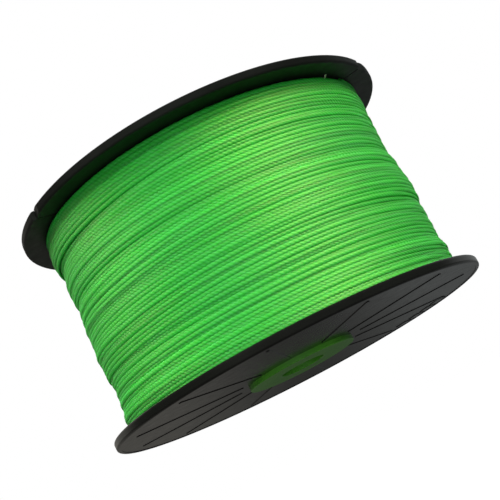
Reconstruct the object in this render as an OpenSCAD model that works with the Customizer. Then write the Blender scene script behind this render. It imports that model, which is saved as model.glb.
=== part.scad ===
// Fishing line spool: a green core carries two black flanges and a wound load
// of thick braided line. The spool stands on its lower boss with its axis
// along +Z. The origin is the centre of the lower boss face.

/* [Flanges] */
// Diameter of both flanges
flange_d = 100; // [92:1:120]
// Distance between the outermost planes of the two flanges
flange_span = 57.0; // [50:0.2:70]
// Height of a flange's rim, from its inner face to the top of its lip
rim_t = 2.2; // [1.8:0.1:3]
// How far the lip and the ribs stand proud of the flange plate
relief_h = 0.15; // [0.1:0.05:0.6]
// Width of the raised lip round the rim
lip_w = 1.1; // [0.8:0.1:2]
// Radius that rounds the rim's edges
rim_round = 0.6; // [0.3:0.1:0.8]

/* [Ribs] */
// Number of stiffening ribs on a flange's outer face
rib_count = 12; // [6:1:18]
// Width of a rib
rib_w = 0.8; // [0.5:0.1:1.5]
// Radius at which the ribs start, near the boss
rib_in_r = 16.8; // [16:0.1:20]
// Radius at which the ribs end, short of the lip
rib_out_r = 45.6; // [40:0.1:45.8]
// Direction of the first rib, in degrees
rib_start = 6; // [0:1:29]

/* [Line slits] */
// Number of slits that grip the line's loose end, on the lower flange
slit_count = 3; // [2:1:4]
// Direction of the first slit, in degrees
slit_start = 82.5; // [0:0.5:119]
// Width of a slit
slit_w = 0.5; // [0.3:0.1:1]
// Length of a slit, measured in from the rim
slit_l = 6.2; // [4:0.1:8]
// Depth of the lead-in nick at a slit's mouth
nick_depth = 0.9; // [0.6:0.1:2]
// Length of the nick's gentle side, along the rim
nick_ramp = 4.4; // [2:0.1:6]
// Length of the nick's steep side, along the rim
nick_step = 1.1; // [0.5:0.1:2]

/* [Moulded marks] */
// Number of plain raised bars near the upper flange's rim
mark_count = 4; // [2:1:6]
// Direction of the middle of the row of bars, in degrees
mark_dir = 142; // [130:1:160]
// Angle between bars, in degrees
mark_step = 6.6; // [5:0.1:9]
// Length of a bar along the rim
mark_l = 3.6; // [2:0.1:5]
// Width of a bar, towards the spool's axis
mark_w = 3.2; // [1:0.1:4]

/* [Core] */
// Diameter of the spindle bore
bore_d = 11.8; // [8:0.1:14]
// Diameter of the bosses that stand out through the flanges
boss_d = 28.8; // [24:0.1:32]
// How far a boss stands proud of the flange plate
boss_h = 1.2; // [1:0.05:4]
// Diameter of the drum that the line is wound on
drum_d = 52; // [44:1:60]
// Wall thickness of the core's tube, drum and bosses
core_wall = 2.2; // [1.6:0.1:3]
// Number of webs between the spindle tube and the drum
web_count = 6; // [3:1:8]
// Thickness of a web
web_t = 1.6; // [1.2:0.1:2.4]

/* [Line] */
// Diameter of the braided line
line_d = 0.92; // [0.8:0.02:1.2]
// Number of turns across the outermost layer
turns = 57; // [40:1:60]
// Radius over the outermost layer at the lower flange
wound_low_r = 44.7; // [42:0.1:45]
// Radius over the outermost layer at the upper flange
wound_high_r = 45.2; // [42:0.1:45.5]
// Thickness of the outermost layer with the crossings just under it
outer_layer_t = 1.9; // [1.4:0.1:3]
// Direction in which the loose end comes out of the winding, in degrees
end_dir = 217; // [0:1:359]
// How far the loose end stands out of the winding
end_l = 1.2; // [0.8:0.1:3]

/* [Anchor tape] */
// Thickness of the tape that holds the line's start on the drum
tape_t = 0.15; // [0.1:0.05:0.3]
// Width of the tape, along the spool's axis
tape_w = 12; // [8:1:20]
// Angle that the tape covers, in degrees
tape_angle = 80; // [40:5:120]

/* [Hidden] */

$fn = 96;
flange_r = flange_d / 2;
bore_r = bore_d / 2;
boss_r = boss_d / 2;
drum_r = drum_d / 2;
line_r = line_d / 2;
plate_t = rim_t - relief_h;              // flange plate, without lip and ribs
low_face = boss_h - relief_h;            // outermost plane of the lower flange
low_inner = low_face + rim_t;            // inner face of the lower flange
high_inner = low_inner + flange_span - 2 * rim_t;
wound_w = high_inner - low_inner;        // width that the line fills
total_h = high_inner + plate_t + boss_h;
pitch = wound_w / turns;
edge = 0.15;                             // chamfer on the bosses and the bore
spigot_t = 1.4;                          // flange ring that locates in the drum
spigot_h = 3;
slip = 0.05;                             // clearance of the locating ring
web_relief = 0.5;                        // gap between a web and the locating ring
mark_in = 1.6;                           // plain band between the bars and the lip
far = 0.01;                              // overrun that keeps cuts clean
CORE_GREEN = [0.20, 0.42, 0.10];
SPOOL_BLACK = [0.07, 0.07, 0.065];
LINE_GREEN = [0.30, 0.80, 0.30];
TAPE_CREAM = [0.86, 0.83, 0.72];

// Ring between two radii, from height z0 to height z1
module ring(r_in, r_out, z0, z1) {
    translate([0, 0, z0])
        difference() {
            cylinder(r = r_out, h = z1 - z0, $fn = 180);
            translate([0, 0, -far])
                cylinder(r = r_in, h = z1 - z0 + 2 * far, $fn = 180);
        }
}

// ---- Core: spindle tube, end bosses, drum and webs in one moulding ----

// Half section of one end boss: a capped ring with a chamfered outer edge
module boss_section() {
    polygon([
        [bore_r + edge, 0], [boss_r - edge, 0], [boss_r, edge],
        [boss_r, boss_h + plate_t + spigot_h], [boss_r - core_wall, boss_h + plate_t + spigot_h],
        [boss_r - core_wall, core_wall], [bore_r + core_wall, core_wall],
        [bore_r + core_wall, total_h / 2 + far], [bore_r, total_h / 2 + far], [bore_r, edge],
    ]);
}

module web() {
    web_l = drum_r - core_wall / 2 - bore_r - core_wall / 2;
    web_low = low_inner + spigot_h + web_relief;
    translate([bore_r + core_wall / 2, -web_t / 2, web_low])
        cube([web_l, web_t, total_h - 2 * web_low]);
}

module core() {
    color(CORE_GREEN) {
        rotate_extrude($fn = 180) boss_section();
        translate([0, 0, total_h]) mirror([0, 0, 1]) rotate_extrude($fn = 180) boss_section();
        ring(drum_r - core_wall, drum_r, low_inner, high_inner);
        for (i = [0 : web_count - 1])
            rotate([0, 0, i * 360 / web_count]) web();
    }
}

// ---- Flanges: drawn with the inner face at z = 0 and the outer face up ----

// Points of an arc about a centre, in equal steps
function arc(centre, r, from, to, steps) = [
    for (i = [0 : steps])
        let (a = from + (to - from) * i / steps)
        centre + r * [cos(a), sin(a)]
];

// Half section of the plate with its rounded rim and raised lip
module plate_section() {
    lip_r = flange_r - lip_w;
    round_r = flange_r - rim_round;
    polygon(concat(
        [[boss_r, 0]],
        arc([round_r, rim_round], rim_round, -90, 0, 4),
        arc([round_r, rim_t - rim_round], rim_round, 0, 90, 4),
        [[lip_r, rim_t], [lip_r, plate_t], [boss_r, plate_t]]
    ));
}

module rib() {
    translate([rib_in_r, -rib_w / 2, plate_t - far])
        cube([rib_out_r - rib_in_r, rib_w, relief_h + far]);
}

module flange_body() {
    rotate_extrude($fn = 180) plate_section();
    // ring that locates the flange in the end of the drum
    ring(drum_r - core_wall - slip - spigot_t, drum_r - core_wall - slip, -spigot_h, far);
    for (i = [0 : rib_count - 1])
        rotate([0, 0, rib_start + i * 360 / rib_count]) rib();
}

// Outline of a slit that runs in from the rim, with a nick that leads the line
// into it. The nick's two sides run on past the rim at the same slope.
module slit_outline() {
    past = 1;
    nick_r = flange_r - nick_depth;
    ramp_slope = (nick_ramp - slit_w / 2) / nick_depth;
    step_slope = (nick_step - slit_w / 2) / nick_depth;
    polygon([
        [flange_r - slit_l, -slit_w / 2], [nick_r, -slit_w / 2],
        [flange_r + past, -nick_ramp - past * ramp_slope],
        [flange_r + past, nick_step + past * step_slope],
        [nick_r, slit_w / 2], [flange_r - slit_l, slit_w / 2],
    ]);
}

module slotted_flange() {
    color(SPOOL_BLACK)
        translate([0, 0, low_inner])
            difference() {
                mirror([0, 0, 1]) flange_body();
                for (i = [0 : slit_count - 1])
                    rotate([0, 0, slit_start + i * 360 / slit_count])
                        translate([0, 0, -rim_t - 1])
                            linear_extrude(rim_t + 2) slit_outline();
            }
}

// Row of plain raised bars just inside the lip
module moulded_marks() {
    bar_r = flange_r - lip_w - mark_in - mark_w;
    for (i = [0 : mark_count - 1])
        rotate([0, 0, mark_dir + (i - (mark_count - 1) / 2) * mark_step])
            translate([bar_r, -mark_l / 2, plate_t - far])
                cube([mark_w, mark_l, relief_h + far]);
}

module plain_flange() {
    color(SPOOL_BLACK)
        translate([0, 0, high_inner]) {
            flange_body();
            moulded_marks();
        }
}

// ---- Line and the tape that holds its start ----

// Radius over the outermost layer at height z
function wound_r(z) =
    wound_low_r + (wound_high_r - wound_low_r) * (z - low_inner) / wound_w;

// Outline of the outermost turns: one round crest for each turn
function crests() = [
    for (i = [0 : turns - 1], a = [-60 : 30 : 60])
        let (z = low_inner + (i + 0.5) * pitch)
        [wound_r(z) - line_r + line_r * cos(a), z + pitch / 2 * sin(a) / sin(66)]
];

// Radius under the outermost layer
inner_r = wound_low_r - outer_layer_t;

module tape_shape(r_in, r_out) {
    translate([0, 0, (low_inner + high_inner - tape_w) / 2])
        rotate_extrude(angle = tape_angle, $fn = 180)
            translate([r_in, 0]) square([r_out - r_in, tape_w]);
}

module anchor_tape() {
    color(TAPE_CREAM) tape_shape(drum_r, drum_r + tape_t);
}

module line_inner_layers() {
    color(LINE_GREEN)
        difference() {
            ring(drum_r, inner_r, low_inner, high_inner);
            tape_shape(drum_r - far, drum_r + tape_t);
        }
}

module line_outer_layer() {
    color(LINE_GREEN)
        rotate_extrude($fn = 180)
            polygon(concat([[inner_r, low_inner]], [[wound_r(low_inner) - line_r, low_inner]],
                crests(), [[wound_r(high_inner) - line_r, high_inner]], [[inner_r, high_inner]]));
}

// Cut end of the line, which stands out of the winding beside the lower flange
module line_end() {
    end_z = low_inner + line_r;
    foot_r = wound_r(end_z);
    color(LINE_GREEN)
        rotate([0, 0, end_dir])
            translate([foot_r, 0, end_z])
                rotate([0, 90, 0])
                    cylinder(r = line_r, h = end_l, $fn = 24);
}

core();
slotted_flange();
plain_flange();
anchor_tape();
line_inner_layers();
line_outer_layer();
line_end();
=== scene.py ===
"""Looks of the fishing line spool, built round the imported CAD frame.

The spool stands on its lower boss with its axis along +Z. The slotted flange is
below and the plain flange is above. All lengths are in metres.
"""
import math
import random

import bpy
import numpy as np
from mathutils import Matrix, Vector


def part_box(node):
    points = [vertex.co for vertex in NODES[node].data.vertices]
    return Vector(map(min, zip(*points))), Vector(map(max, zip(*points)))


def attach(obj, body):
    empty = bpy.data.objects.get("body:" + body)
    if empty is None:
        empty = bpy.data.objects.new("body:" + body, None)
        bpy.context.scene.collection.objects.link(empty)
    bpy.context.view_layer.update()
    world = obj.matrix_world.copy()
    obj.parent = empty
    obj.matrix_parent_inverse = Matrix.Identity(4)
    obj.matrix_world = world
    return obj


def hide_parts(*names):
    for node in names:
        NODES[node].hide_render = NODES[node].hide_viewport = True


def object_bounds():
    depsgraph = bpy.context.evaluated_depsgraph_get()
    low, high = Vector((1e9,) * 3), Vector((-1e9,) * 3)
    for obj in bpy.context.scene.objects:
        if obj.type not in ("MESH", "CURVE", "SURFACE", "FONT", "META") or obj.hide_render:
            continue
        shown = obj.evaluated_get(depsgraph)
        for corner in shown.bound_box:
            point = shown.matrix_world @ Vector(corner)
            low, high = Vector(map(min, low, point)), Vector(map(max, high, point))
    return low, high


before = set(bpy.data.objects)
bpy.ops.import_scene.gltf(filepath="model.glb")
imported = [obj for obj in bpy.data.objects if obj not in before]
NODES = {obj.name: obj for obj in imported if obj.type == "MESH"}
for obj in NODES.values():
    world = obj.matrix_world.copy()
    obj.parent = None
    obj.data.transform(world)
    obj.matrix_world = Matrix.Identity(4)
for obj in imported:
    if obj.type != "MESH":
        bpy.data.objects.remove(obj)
CAD_BOX = [list(corner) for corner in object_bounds()]
SEED = 7
MM = 0.001

# ---- Driving dimensions, read from the frame ----

WOUND_LOW, WOUND_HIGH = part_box("line_outer_layer")
Z_LOW, Z_HIGH = WOUND_LOW.z, WOUND_HIGH.z       # inner faces of the two flanges
WOUND_W = Z_HIGH - Z_LOW
WOUND_R = WOUND_HIGH.x                          # over the outermost turns, at the top
FLANGE_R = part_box("plain_flange")[1].x
SPOOL_H = CAD_BOX[1][2]
CENTRE = Vector((0, 0, SPOOL_H / 2))

# ---- Line ----

TURNS = 57
PITCH = WOUND_W / TURNS
CORD_W = 0.86 * PITCH       # half the width of a turn's oval; neighbours overlap, so its crown shows
CORD_H = 0.38 * PITCH       # half its height
PLIES = 3                   # twisted together
PICK = 1.09 * MM            # from one ply's crest to the next, along the line
PLY_DEPTH = 0.12            # half the depth of the grooves between plies, as a share of the radius
SIDES = 8                   # of the line's cross-section
TONE_PICKS = 70.0           # length over which the line's tone changes, in picks
OUTER_PIECES = 5
UNDER_PIECES = 2

# ---- Winding ----

START = 206                 # direction in degrees at which both layers start
STEPS = 900                 # points on each turn
UNDER_STEPS = 360           # points on each turn of the layer below
UNDER_DROP = 0.80 * MM      # from a layer's centreline to the next one's
UNDER_JITTER = 0.15         # sideways wander of the layer below, in pitches
UNDER_KNOTS = 43            # bends in that wander
UNDER_REPEAT = 5            # turns after which it repeats
TAPER = 0.5 * MM            # the winding's radius is this much less at the bottom
OFF_CENTRE = 0.25 * MM      # the winding's axis lies this far off the spool's
OFF_DIR = 195               # direction in degrees of its thick side
DRIFT = 0.26                # sideways wander that one turn adds to the last one's, in pitches
DRIFT_KEEP = 0.72           # share of the last turn's wander that a turn keeps
DRIFT_KNOTS = 7             # bends in that wander on one turn
JITTER = 0.10               # quicker sideways wander of each turn alone, in pitches
JITTER_KNOTS = 23
HEAP = 0.20 * MM            # about how far several turns together may lie above or below the rest
HEAP_NEW = 0.62             # how much one turn adds to the last one's heap
HEAP_KEEP = 0.72            # share of the last turn's heap that a turn keeps
HEAP_LOW = 0.3              # takes the heaps down a little on the whole
HEAP_KNOTS = 5
LOOSE = 0.06 * MM           # how far one turn as a whole may lie above the next
SINK = 0.36 * MM            # how deep a slack turn sinks below the tight ones
TIGHT_NEW = 0.75            # how much one turn adds to the last one's tightness
TIGHT_KEEP = 0.45           # share of the last turn's tightness that a turn keeps
TIGHT_KNOTS = 6
SLACK_BASE = 0.15           # slack of a turn of middling tightness, where 1 sinks all the way
SLACK_GAIN = 0.9            # slack that a turn loses with its tightness
CALM_TURNS = 4              # turns beside each flange that lie straighter
BLEND = STEPS // 30         # points to either side over which wander and slack are smoothed
# The winding is uneven across its width. Each row is a direction in degrees and then, in
# millimetres, places up the axis with how proud the winding is there.
LUMPS = (
    (189, ((8, 0), (14, -0.3), (20, -0.85), (24, -0.6), (26, 0), (28, -0.1), (30, 0.35), (34, 0.4),
           (38, 0), (40, 0), (42, -0.35), (44, -0.25), (48, -0.5), (50, 0.3), (54, 0))),
    (270, ((42, 0), (44, -0.1), (48, -0.05), (52, 0.35), (54, 0.45))),
    (350, ((2, 0), (6, 0.4), (10, 0.5), (12, -0.75), (14, -0.65), (16, 0), (20, -0.3), (22, -0.3),
           (28, 0), (34, 0), (36, 0.35), (38, 0), (40, 0.3), (44, -0.4), (48, 0), (50, 0),
           (52, 0.45), (56, 0))),
)

# ---- Cut end of the line ----

END_DIR = 216.6             # direction in degrees
END_UP = 1.15 * MM          # from the lower flange up to its foot
END_SUNK = 0.6 * MM         # its foot is this far below the winding's surface
END_LENGTH = 1.25 * MM
END_UNEVEN = 0.15 * MM      # each ply may be this much longer or shorter
END_LEAN = 0.7 * MM         # its tip leans towards the flange by this
END_APART = 0.12 * MM       # from one ply to the next at the foot
END_SPLAY = 0.5             # how much further apart they are at the tip, as a share
END_PLY_R = 0.14 * MM
END_POINTS = 14

# ---- Camera and floor ----

LENS = 73.05                # millimetres
SENSOR_W = 36               # millimetres
CLIP = (0.01, 20)
CAMERA_PLACE = (-0.0309, -5.07, 1.1347)     # from the spool's centre, in flange radii
CAMERA_YAW = 0.031          # degrees
CAMERA_DOWN = 13.273        # how far it looks down, in degrees
CAMERA_ROLL = 152.431       # degrees
FLOOR_HALF = 3.0
FLOOR_GAP = 0.05 * MM       # keeps the floor clear of the boss face that stands on it

# ---- Light ----

WHITE = 1.2                 # what the camera sees behind the spool
ROOM_NEAR = 0.04            # how bright the room is on the camera's side, where white is 1
ROOM_LOW = 0.30             # behind the spool, below its middle
ROOM_HIGH = 0.16            # behind the spool, above its middle
ROOM_MIDDLE = 0.06          # straight behind the spool, above its middle
ROOM_RISE = (0.68, 1.06)    # factors on the last two, just above the middle and higher up
ROOM_COOL = (0.95, 1, 0.99, 1)
ROOM_WARM = (0.93, 0.90, 0.81, 1)
# Where the room changes: from and to, along one axis of the direction looked in
NEAR_SPAN = (0.25, 0.6)     # Y
LOW_SPAN = (-0.12, 0.05)    # Z
RISE_SPAN = (0.08, 0.14)    # Z
MIDDLE_SPAN = (0.0, 0.16)   # X, to either side
HUE_SPAN = (-0.2, 0.2)      # X
LAMP_FAR = 0.9              # from the spool's centre
LAMPS = (                   # name, azimuth and height in degrees, width, watts
    ("key", 220, -34, 0.50, 6.3),
    ("fill", 305, -52, 0.80, 9.3),
    ("front", 278, -8, 0.90, 3.4),
    ("rear", 90, -32, 0.60, 8),
    ("top", 270, 38, 0.60, 1.65),
)
SHEENS = (                  # lamps that only give the line its sheen
    ("sheen_right", 222, -32, 0.50, 56),
    ("sheen_left", 350, -32, 0.60, 15),
)
SHEEN_WARM = (0.84, 1, 0.50)


# ---- Camera and stage ----

def make_camera():
    """A camera that looks down a little on the upper flange, rolled so that the spool's axis
    leans down to the right."""
    data = bpy.data.cameras.new("camera")
    data.sensor_width = SENSOR_W
    data.lens = LENS
    data.clip_start, data.clip_end = CLIP
    cam = bpy.data.objects.new("camera", data)
    bpy.context.scene.collection.objects.link(cam)
    yaw, pitch_down, roll = (math.radians(a) for a in (CAMERA_YAW, CAMERA_DOWN, CAMERA_ROLL))
    place = CENTRE + FLANGE_R * Vector(CAMERA_PLACE)
    turn = (Matrix.Rotation(yaw, 4, "Z") @ Matrix.Rotation(math.pi / 2 - pitch_down, 4, "X")
            @ Matrix.Rotation(roll, 4, "Z"))
    cam.matrix_world = Matrix.Translation(place) @ turn
    bpy.context.scene.camera = cam


def area_light(name, azimuth, height, size, power, colour=(1, 1, 1)):
    """A square lamp that faces the spool's centre."""
    turn, lift = math.radians(azimuth), math.radians(height)
    way = Vector((math.cos(turn) * math.cos(lift), math.sin(turn) * math.cos(lift), math.sin(lift)))
    data = bpy.data.lights.new(name, "AREA")
    data.shape = "RECTANGLE"
    data.size = data.size_y = size
    data.energy = power
    data.color = colour
    lamp = bpy.data.objects.new(name, data)
    bpy.context.scene.collection.objects.link(lamp)
    lamp.location = CENTRE + LAMP_FAR * way
    lamp.rotation_mode = "QUATERNION"
    lamp.rotation_quaternion = way.to_track_quat("Z", "Y")
    return lamp


def make_room(tree):
    """The dim room that lights the spool, darker on the camera's side than behind the spool."""
    where = tree.nodes.new("ShaderNodeTexCoord")
    axes = tree.nodes.new("ShaderNodeSeparateXYZ")
    tree.links.new(where.outputs["Generated"], axes.inputs[0])

    def operate(op, value):
        made = tree.nodes.new("ShaderNodeMath")
        made.operation = op
        tree.links.new(value, made.inputs[0])
        return made

    def fade(value, span, low, high):
        made = tree.nodes.new("ShaderNodeMapRange")
        made.interpolation_type = "SMOOTHSTEP"
        tree.links.new(value, made.inputs["Value"])
        for name, number in zip(("From Min", "From Max", "To Min", "To Max"), (*span, low, high)):
            if isinstance(number, float):
                made.inputs[name].default_value = number
            else:
                tree.links.new(number, made.inputs[name])
        return made.outputs[0]

    aside = operate("ABSOLUTE", axes.outputs["X"]).outputs[0]
    above = operate("MULTIPLY", fade(aside, MIDDLE_SPAN, ROOM_MIDDLE, ROOM_HIGH))
    tree.links.new(fade(axes.outputs["Z"], RISE_SPAN, *ROOM_RISE), above.inputs[1])
    behind = fade(axes.outputs["Z"], LOW_SPAN, ROOM_LOW, above.outputs[0])
    level = fade(axes.outputs["Y"], NEAR_SPAN, ROOM_NEAR, behind)
    hue = tree.nodes.new("ShaderNodeValToRGB")
    hue.color_ramp.elements[0].color = ROOM_COOL
    hue.color_ramp.elements[1].color = ROOM_WARM
    tree.links.new(fade(axes.outputs["X"], HUE_SPAN, 0.0, 1.0), hue.inputs[0])
    room = tree.nodes.new("ShaderNodeBackground")
    tree.links.new(hue.outputs[0], room.inputs["Color"])
    tree.links.new(level, room.inputs["Strength"])
    return room


def make_world():
    """White for the camera, and the dim room for light and gloss."""
    world = bpy.data.worlds.new("studio")
    bpy.context.scene.world = world
    world.use_nodes = True
    tree = world.node_tree
    tree.nodes.clear()
    out = tree.nodes.new("ShaderNodeOutputWorld")
    seen = tree.nodes.new("ShaderNodeBackground")
    seen.inputs["Color"].default_value = (1, 1, 1, 1)
    seen.inputs["Strength"].default_value = WHITE
    room = make_room(tree)
    path = tree.nodes.new("ShaderNodeLightPath")
    mix = tree.nodes.new("ShaderNodeMixShader")
    tree.links.new(path.outputs["Is Camera Ray"], mix.inputs[0])
    tree.links.new(room.outputs[0], mix.inputs[1])
    tree.links.new(seen.outputs[0], mix.inputs[2])
    tree.links.new(mix.outputs[0], out.inputs["Surface"])


def make_floor():
    """A plain white floor at the height that the spool stands on, seen by the camera only."""
    mesh = bpy.data.meshes.new("floor")
    corners = [(x * FLOOR_HALF, y * FLOOR_HALF, -FLOOR_GAP) for x, y in ((-1, -1), (1, -1), (1, 1), (-1, 1))]
    mesh.from_pydata(corners, [], [(0, 1, 2, 3)])
    floor = bpy.data.objects.new("floor", mesh)
    bpy.context.scene.collection.objects.link(floor)
    mat = bpy.data.materials.new("floor_white")
    mat.use_nodes = True
    tree = mat.node_tree
    tree.nodes.clear()
    out = tree.nodes.new("ShaderNodeOutputMaterial")
    glow = tree.nodes.new("ShaderNodeEmission")
    glow.inputs["Strength"].default_value = 1.0
    tree.links.new(glow.outputs[0], out.inputs["Surface"])
    for kind in ("diffuse", "glossy", "transmission", "shadow"):
        setattr(floor, "visible_" + kind, False)
    mesh.materials.append(mat)


def make_stage():
    make_world()
    make_floor()
    for lamp in LAMPS:
        area_light(*lamp).visible_glossy = False


def make_sheens(pieces):
    """Lamps that shine on the line alone, and only in its gloss."""
    lit = bpy.data.collections.new("lit_by_sheens")
    for piece in pieces:
        lit.objects.link(piece)
    for sheen in SHEENS:
        lamp = area_light(*sheen, SHEEN_WARM)
        lamp.visible_diffuse = False
        lamp.light_linking.receiver_collection = lit


# ---- Node helpers ----

class Nodes:
    """Adds nodes to a material with short calls. A value is a number, a tuple or another
    node's output."""

    def __init__(self, name):
        self.mat = bpy.data.materials.new(name)
        self.mat.use_nodes = True
        self.tree = self.mat.node_tree
        self.shader = self.tree.nodes["Principled BSDF"]

    def put(self, socket, value):
        if isinstance(value, bpy.types.NodeSocket):
            self.tree.links.new(value, socket)
        else:
            socket.default_value = value

    def add(self, kind, out=0, props=None, **values):
        """Adds a node. An input is named by its words joined with _, or by i and its number."""
        made = self.tree.nodes.new(kind)
        for key, value in (props or {}).items():
            setattr(made, key, value)
        for key, value in values.items():
            by_number = key[0] == "i" and key[1:].isdigit()
            self.put(made.inputs[int(key[1:]) if by_number else key.replace("_", " ")], value)
        return made.outputs[out]

    def place(self):
        """Where a point is on its object."""
        return self.add("ShaderNodeTexCoord", out="Object")

    def math(self, op, a, b=0.0):
        return self.add("ShaderNodeMath", props={"operation": op}, i0=a, i1=b)

    def noise(self, vector, scale, detail=2.0, rough=0.5):
        return self.add("ShaderNodeTexNoise", Vector=vector, Scale=scale, Detail=detail, Roughness=rough)

    def ramp(self, value, stops):
        """A colour ramp; stops are (position, colour) pairs."""
        made = self.tree.nodes.new("ShaderNodeValToRGB")
        elements = made.color_ramp.elements
        while len(elements) < len(stops):
            elements.new(0.5)
        for element, (place, colour) in zip(elements, stops):
            element.position = place
            element.color = (*colour, 1)
        self.tree.links.new(value, made.inputs[0])
        return made.outputs[0]

    def multiply(self, colour, layer):
        """The product of two colours."""
        return self.add("ShaderNodeMix", out=2, props={"data_type": "RGBA", "blend_type": "MULTIPLY"},
                        i0=1.0, i6=colour, i7=layer)

    def mapped(self, value, low, high, to_low, to_high):
        return self.add("ShaderNodeMapRange", Value=value, From_Min=low, From_Max=high,
                        To_Min=to_low, To_Max=to_high)

    def bump(self, height, distance, strength):
        return self.add("ShaderNodeBump", Height=height, Distance=distance, Strength=strength)

    def set(self, **values):
        for key, value in values.items():
            self.put(self.shader.inputs[key.replace("_", " ")], value)


# ---- Materials ----

def spool_black(name, smooth, dull, gloss_tint, gloss):
    """Injection-moulded black plastic: semi-gloss, with a fine texture and light handling marks."""
    n = Nodes(name)
    where = n.place()
    cloud = n.noise(where, scale=60, detail=3)
    grain = n.noise(where, scale=2200)
    scuff = n.noise(where, scale=400, detail=6, rough=0.7)
    n.set(Base_Color=n.ramp(cloud, [(0.3, (0.0055, 0.0060, 0.0050)), (0.7, (0.0095, 0.0100, 0.0085))]),
          Roughness=n.mapped(scuff, low=0.35, high=0.7, to_low=smooth, to_high=dull),
          Normal=n.bump(grain, distance=0.02 * MM, strength=0.4),
          Specular_Tint=gloss_tint,
          Specular_IOR_Level=gloss)
    return n.mat


def tape_cream():
    """Crepe paper tape: fine wrinkles along Z and a fibrous, uneven tone."""
    n = Nodes("tape_cream")
    where = n.place()
    stretched = n.add("ShaderNodeMapping", Vector=where, Scale=(1, 1, 0.12))
    wrinkle = n.noise(stretched, scale=1500, detail=3)
    fibre = n.noise(where, scale=4000, detail=4, rough=0.6)
    shade = n.math("ADD", n.math("MULTIPLY", wrinkle, 0.6), n.math("MULTIPLY", fibre, 0.4))
    n.set(Base_Color=n.ramp(shade, [(0.3, (0.60, 0.54, 0.37)), (0.7, (0.78, 0.73, 0.57))]),
          Roughness=n.mapped(fibre, low=0.3, high=0.7, to_low=0.75, to_high=0.9),
          Normal=n.bump(wrinkle, distance=0.05 * MM, strength=0.8))
    return n.mat


def core_green():
    """Green moulding of the core, with a dull moulded finish."""
    n = Nodes("core_green")
    where = n.place()
    cloud = n.noise(where, scale=90, detail=3)
    grain = n.noise(where, scale=1600)
    n.set(Base_Color=n.ramp(cloud, [(0.3, (0.060, 0.27, 0.020)), (0.7, (0.085, 0.34, 0.030))]),
          Roughness=n.mapped(grain, low=0.3, high=0.7, to_low=0.30, to_high=0.42),
          Normal=n.bump(grain, distance=0.03 * MM, strength=0.5))
    return n.mat


def braid_green(name, groove_shade, body, crest_highlight):
    """Line with a soft sheen. Its UV map runs along the line in picks (u) and round it in turns (v). Its
    colour is darker in the grooves between plies, a painted shade, and lighter and whiter on their crests, a
    painted highlight.
    """
    n = Nodes(name)
    split = n.tree.nodes.new("ShaderNodeSeparateXYZ")
    n.put(split.inputs[0], n.add("ShaderNodeUVMap", props={"uv_map": "line"}))
    along, round_it = split.outputs[0], split.outputs[1]
    slant = n.math("SUBTRACT", along, n.math("MULTIPLY", round_it, float(PLIES)))
    strand = n.math("FRACT", n.math("ADD", slant, 0.5))
    off_crest = n.math("ABSOLUTE", n.math("SUBTRACT", n.math("MULTIPLY", strand, 2.0), 1.0))
    crest = n.math("POWER", n.math("SUBTRACT", 1.0, off_crest), 0.6)
    where = n.place()
    fibre = n.noise(where, scale=9000)
    patch = n.noise(where, scale=35, detail=3)
    shade = n.math("ADD", n.math("MULTIPLY", crest, 0.70), n.math("MULTIPLY", fibre, 0.30))
    # painted shade in the grooves between plies, painted highlight on their crests
    colour = n.ramp(shade, [(0.0, groove_shade), (0.35, body), (1.0, crest_highlight)])
    stretch = n.noise(n.add("ShaderNodeCombineXYZ", X=n.math("DIVIDE", along, TONE_PICKS)), scale=1.0)
    tint = n.ramp(patch, [(0.35, (0.85, 1.0, 0.8)), (0.65, (1.0, 0.97, 1.0))])
    tone = n.ramp(stretch, [(0.32, (0.74, 0.88, 0.74)), (0.62, (1.0, 1.0, 1.0))])
    n.set(Base_Color=n.multiply(n.multiply(colour, tint), tone),
          Roughness=n.mapped(fibre, low=0.3, high=0.7, to_low=0.46, to_high=0.62),
          Normal=n.bump(crest, distance=0.08 * MM, strength=0.8),
          Subsurface_Weight=0.65,
          Subsurface_Scale=1.8 * MM,
          Subsurface_Radius=(0.4, 1.0, 0.4),
          Specular_Tint=(0.8, 1, 0.4, 1),
          Specular_IOR_Level=0.22)
    return n.mat


# ---- Cord ----

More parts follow.
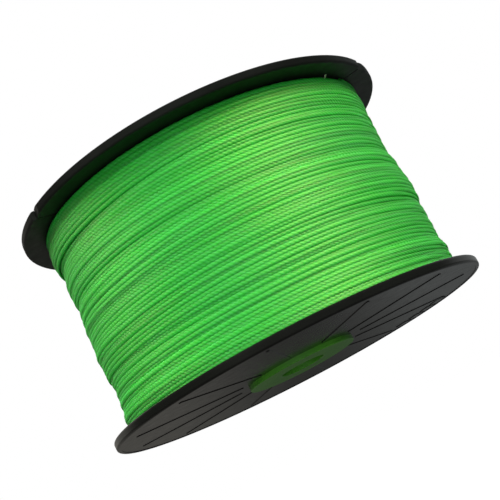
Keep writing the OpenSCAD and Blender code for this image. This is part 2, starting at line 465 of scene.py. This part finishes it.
def cord(name, path, width, height, mat, start=0.0):
    """A twisted cord along path, start metres into its line. Its three plies stand proud, and
    its UV map counts picks (u) and turns round it (v)."""
    count = len(path)
    tangent = np.gradient(path, axis=0)
    tangent /= np.linalg.norm(tangent, axis=1)[:, None]
    outward = path * (1, 1, 0)
    outward /= np.linalg.norm(outward, axis=1)[:, None]
    across = np.cross(tangent, outward)
    length = start + np.concatenate([[0], np.cumsum(np.linalg.norm(np.diff(path, axis=0), axis=1))])
    u = length / PICK
    turn = np.arange(SIDES) / SIDES
    ply = np.cos(2 * math.pi * (u[:, None] - PLIES * turn[None, :]))
    swell = 1 + PLY_DEPTH * (ply - 1)
    around = 2 * math.pi * turn
    out_by = (np.cos(around)[None, :] * swell * height)[..., None]
    side_by = (np.sin(around)[None, :] * swell * width)[..., None]
    verts = path[:, None, :] + out_by * outward[:, None, :] + side_by * across[:, None, :]
    i = np.arange(count - 1)[:, None]
    j = np.arange(SIDES)[None, :]
    k = (j + 1) % SIDES
    corners = np.stack([i * SIDES + j, i * SIDES + k, (i + 1) * SIDES + k, (i + 1) * SIDES + j], -1)
    quads = corners.reshape(-1, 4)
    mesh = bpy.data.meshes.new(name)
    mesh.vertices.add(count * SIDES)
    mesh.vertices.foreach_set("co", verts.reshape(-1))
    mesh.loops.add(quads.size)
    mesh.loops.foreach_set("vertex_index", quads.reshape(-1))
    mesh.polygons.add(len(quads))
    mesh.polygons.foreach_set("loop_start", np.arange(0, quads.size, 4))
    mesh.polygons.foreach_set("use_smooth", np.ones(len(quads), bool))
    mesh.update(calc_edges=True)
    shape = (count - 1, SIDES, 4)
    us = np.broadcast_to(np.stack([u[:-1], u[:-1], u[1:], u[1:]], -1)[:, None, :], shape)
    vs = np.broadcast_to(np.stack([j[0], j[0] + 1, j[0] + 1, j[0]], -1)[None] / SIDES, shape)
    mesh.uv_layers.new(name="line").data.foreach_set("uv", np.stack([us, vs], -1).reshape(-1))
    mesh.materials.append(mat)
    obj = bpy.data.objects.new(name, mesh)
    bpy.context.scene.collection.objects.link(obj)
    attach(obj, "root")
    return obj


# ---- Winding ----

def smooth_noise(rng, count, knots):
    """A closed smooth random curve of count samples through the given number of knots, from -1 to 1."""
    heights = np.array([rng.uniform(-1, 1) for _ in range(knots)])
    t = np.arange(count) * knots / count
    i = t.astype(int)
    f = t - i
    f = f * f * (3 - 2 * f)
    return heights[i % knots] * (1 - f) + heights[(i + 1) % knots] * f


def smoothed(values):
    """Each value's mean with those up to BLEND points away."""
    width = 2 * BLEND + 1
    return np.convolve(np.pad(values, BLEND, "edge"), np.ones(width) / width, "valid")


def calm_near(turn):
    """From 0 beside a flange, where the turns lie straight, to 1 well away from both."""
    return min(1, min(turn + 0.5, TURNS - turn - 0.5) / CALM_TURNS)


def wound_r(z, theta):
    """Radius over the outermost turns, which lie a little off centre and unevenly."""
    radius = WOUND_R - TAPER * (Z_HIGH - z) / WOUND_W + OFF_CENTRE * np.cos(theta - math.radians(OFF_DIR))
    for direction, points in LUMPS:
        share = np.clip(np.cos(theta - math.radians(direction)), 0, 1) ** 2
        places, proud = MM * np.array(points).T
        radius = radius + share * np.interp(z, places, proud)
    return radius


def on_surface(z, theta, depth):
    """Points at the given depth below the winding's surface."""
    z = np.clip(z, Z_LOW + CORD_W, Z_HIGH - CORD_W)
    r = wound_r(z, theta) - depth
    return np.stack([r * np.cos(theta), r * np.sin(theta), z], -1)


def outer_path(rng):
    """Centreline of the outermost layer: it starts at the lower flange and climbs clockwise, and
    neighbours drift."""
    total = TURNS * STEPS + 1
    theta = math.radians(START) - np.arange(total) * 2 * math.pi / STEPS
    z = np.empty(total)
    sunk = np.empty(total)
    drift, tight, heap = np.zeros((3, STEPS))
    for turn in range(TURNS):
        drift = DRIFT_KEEP * drift + DRIFT * PITCH * smooth_noise(rng, STEPS, DRIFT_KNOTS)
        jitter = JITTER * PITCH * smooth_noise(rng, STEPS, JITTER_KNOTS)
        heap = HEAP_KEEP * heap + HEAP_NEW * smooth_noise(rng, STEPS, HEAP_KNOTS)
        level = rng.uniform(-0.5, 1) * LOOSE + (heap - HEAP_LOW) * HEAP * calm_near(turn)
        tight = TIGHT_KEEP * tight + TIGHT_NEW * smooth_noise(rng, STEPS, TIGHT_KNOTS)
        at = turn * STEPS
        climb = (turn + 0.5 + np.arange(STEPS) / STEPS) / (TURNS + 1)
        z[at:at + STEPS] = Z_LOW + climb * WOUND_W + (drift + jitter) * calm_near(turn)
        sunk[at:at + STEPS] = np.clip(SLACK_BASE - SLACK_GAIN * tight, 0, 1) * SINK - level
    z[-1], sunk[-1] = z[-2], sunk[-2]
    return on_surface(smoothed(z), theta, CORD_H + smoothed(sunk))


def under_path(rng):
    """Centreline of the layer below, which climbs the other way and shows in the gaps."""
    total = TURNS * UNDER_STEPS + 1
    theta = math.radians(START) + np.arange(total) * 2 * math.pi / UNDER_STEPS
    climb = 0.5 + np.arange(total) / UNDER_STEPS
    z = Z_LOW + climb * WOUND_W / (TURNS + 1)
    wander = smooth_noise(rng, UNDER_REPEAT * UNDER_STEPS, UNDER_KNOTS)
    z += UNDER_JITTER * PITCH * np.resize(wander, total)
    return on_surface(z, theta, CORD_H + UNDER_DROP)


def lay(name, path, pieces, mat):
    """Lays a cord along path as several pieces that join end to end."""
    share = len(path) // pieces
    length = 0.0
    made = []
    for piece in range(pieces):
        first = piece * share
        last = len(path) if piece == pieces - 1 else (piece + 1) * share + 1
        part = path[first:last]
        made.append(cord(f"{name}_{piece + 1}", part, CORD_W, CORD_H, mat, length))
        length += np.linalg.norm(np.diff(part, axis=0), axis=1).sum()
    return made


def make_winding(mat):
    rng = random.Random(SEED)
    outer = lay("line_outer_turns", outer_path(rng), OUTER_PIECES, mat)
    for piece in outer:
        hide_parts("line_outer_layer")
    return outer + lay("line_under_turns", under_path(rng), UNDER_PIECES, mat)


def make_loose_end(mat):
    """The cut end of the line: three plies that stand out from the winding beside the lower flange and splay
    a little. Their pale colour is a painted highlight for the light they catch in the flange's shade."""
    rng = random.Random(SEED + 1)
    plies = []
    turn = math.radians(END_DIR)
    foot_z = Z_LOW + END_UP
    foot_r = wound_r(foot_z, turn) - END_SUNK
    out = np.array((math.cos(turn), math.sin(turn), 0))
    side = np.array((-math.sin(turn), math.cos(turn), 0))
    down = np.array((0, 0, -1))
    t = np.linspace(0, 1, END_POINTS)[:, None]
    for ply in range(PLIES):
        apart = (ply - 1) * END_APART
        rise = END_LENGTH + rng.uniform(-END_UNEVEN, END_UNEVEN)
        foot = foot_r * out + np.array((0, 0, foot_z)) + side * apart
        path = foot + t * rise * out + t * t * (END_LEAN * down + END_SPLAY * apart * side)
        obj = cord(f"line_end_ply_{ply + 1}", path, END_PLY_R, END_PLY_R, mat)
        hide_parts("line_end")
        plies.append(obj)
    return plies


# ---- The whole spool ----

make_camera()
make_stage()
# In each line colour the first stop is painted shade for the grooves between plies and the last a painted
# highlight for their crests.
BRAID = braid_green("braid_green", groove_shade=(0.006, 0.38, 0.014), body=(0.022, 0.45, 0.042),
                    crest_highlight=(0.055, 0.53, 0.092))
# The cut end's pale colour is a painted highlight that stands in for light it catches in the flange's shade.
END_PAINTED_HIGHLIGHT = braid_green("braid_end_painted_highlight", groove_shade=(0.30, 0.46, 0.24), body=(0.42, 0.60, 0.36),
                   crest_highlight=(0.52, 0.70, 0.44))
MATERIALS = {
    "core": core_green(),
    # The slotted flange's greenish gloss tint is a painted reflection of the green line beside it.
    "slotted_flange": spool_black("slotted_flange_black_painted_green_reflection", smooth=0.44, dull=0.54,
                                  gloss_tint=(0.86, 1, 0.93, 1), gloss=0.38),
    "plain_flange": spool_black("flange_black", smooth=0.16, dull=0.25,
                                gloss_tint=(1, 1, 1, 1), gloss=0.5),
    "anchor_tape": tape_cream(),
    "line_inner_layers": BRAID,
}
for node, mat in MATERIALS.items():
    for one in NODES[node].material_slots:
        one.material = mat
make_sheens([*make_winding(BRAID), *make_loose_end(END_PAINTED_HIGHLIGHT), NODES["line_inner_layers"]])
bpy.context.scene.view_settings.view_transform = "Standard"
